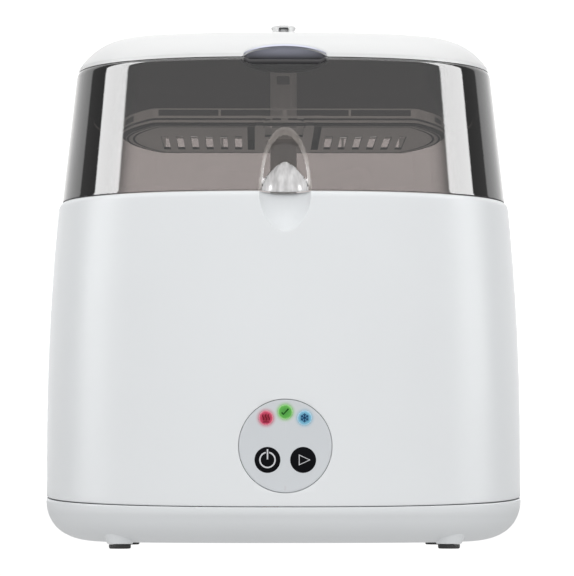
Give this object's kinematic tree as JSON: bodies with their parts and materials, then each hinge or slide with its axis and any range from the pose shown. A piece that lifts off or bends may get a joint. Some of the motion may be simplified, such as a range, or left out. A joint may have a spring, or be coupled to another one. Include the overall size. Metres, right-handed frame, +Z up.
{
  "type": "bottle sterilizer",
  "caption": "Electric steam sterilizer for feeding bottles: white oval base with a heated chamber, hinged smoke lid, inner rack and tray, and a round front panel with push buttons.",
  "frame": {"origin": "centre of the footprint, on the surface that the feet stand on", "axes": "+Z up, -Y out of the front panel, +X to the right of someone facing the object"},
  "size_m": [0.3006, 0.2106, 0.334],
  "materials": {
    "white": "gloss",
    "smoke": "clear smoke, gloss",
    "liner": "satin",
    "rack": "satin",
    "panel": "gloss",
    "button": "gloss",
    "black_plastic": "matte",
    "valve": "matte",
    "rubber": "matte",
    "steel": "brushed",
    "board": "satin",
    "lens_red": "translucent",
    "lens_green": "translucent",
    "lens_blue": "translucent",
    "led": "gloss",
    "lead": "silicone sleeve"
  },
  "bodies": {
    "base": {"base_housing": "white", "base_pan": "white", "hinge_bracket_left": "white", "hinge_bracket_right": "white", "chamber_tub": "liner", "board_frame": "liner", "control_panel": "panel", "foot_pad_front_left": "rubber", "foot_pad_front_right": "rubber", "foot_pad_rear_left": "rubber", "foot_pad_rear_right": "rubber", "plate_gasket": "rubber", "heating_plate": "steel", "heater_ring": "steel", "heater_bracket": "steel", "thermal_fuse": "steel", "heater_tag_live": "steel", "heater_tag_neutral": "steel", "base_screw_front_left": "steel", "base_screw_front_right": "steel", "base_screw_rear_left": "steel", "base_screw_rear_right": "steel", "board_screw_left": "steel", "board_screw_right": "steel", "hinge_pin_left": "steel", "hinge_pin_right": "steel", "thermostat": "black_plastic", "power_switch": "black_plastic", "start_switch": "black_plastic", "terminal_block": "black_plastic", "cord_gland": "black_plastic", "relay": "black_plastic", "buzzer": "black_plastic", "control_board": "board", "heat_lens": "lens_red", "ready_lens": "lens_green", "cool_lens": "lens_blue", "heat_led": "led", "ready_led": "led", "cool_led": "led", "heater_lead_live": "lead", "heater_lead_neutral": "lead"},
    "lid": {"lid_cap": "white", "hinge_arm_left": "white", "hinge_arm_right": "white", "lid_window": "smoke", "vent_collar": "liner", "vent_valve": "valve"},
    "power_button": {"power_button": "button"},
    "start_button": {"start_button": "button"},
    "rack": {"lower_rack": "rack", "rack_post": "rack"},
    "tray": {"upper_tray": "rack"}
  },
  "joints": [
    {"name": "lid_hinge", "type": "hinge", "parent": "base", "child": "lid", "pos_m": [0, 0.0985, 0.2095], "axis": [-1, 0, 0], "range_deg": [0, 95]},
    {"name": "power_button_press", "type": "slide", "parent": "base", "child": "power_button", "axis": [0, 1, 0], "range_m": [0, 0.0013], "stiffness_N_per_m": 400},
    {"name": "start_button_press", "type": "slide", "parent": "base", "child": "start_button", "axis": [0, 1, 0], "range_m": [0, 0.0013], "stiffness_N_per_m": 400},
    {"name": "rack_lift", "type": "slide", "parent": "base", "child": "rack", "axis": [0, 0, 1], "range_m": [0, 0.01]},
    {"name": "tray_lift", "type": "slide", "parent": "rack", "child": "tray", "axis": [0, 0, 1], "range_m": [0, 0.012]}
  ]
}
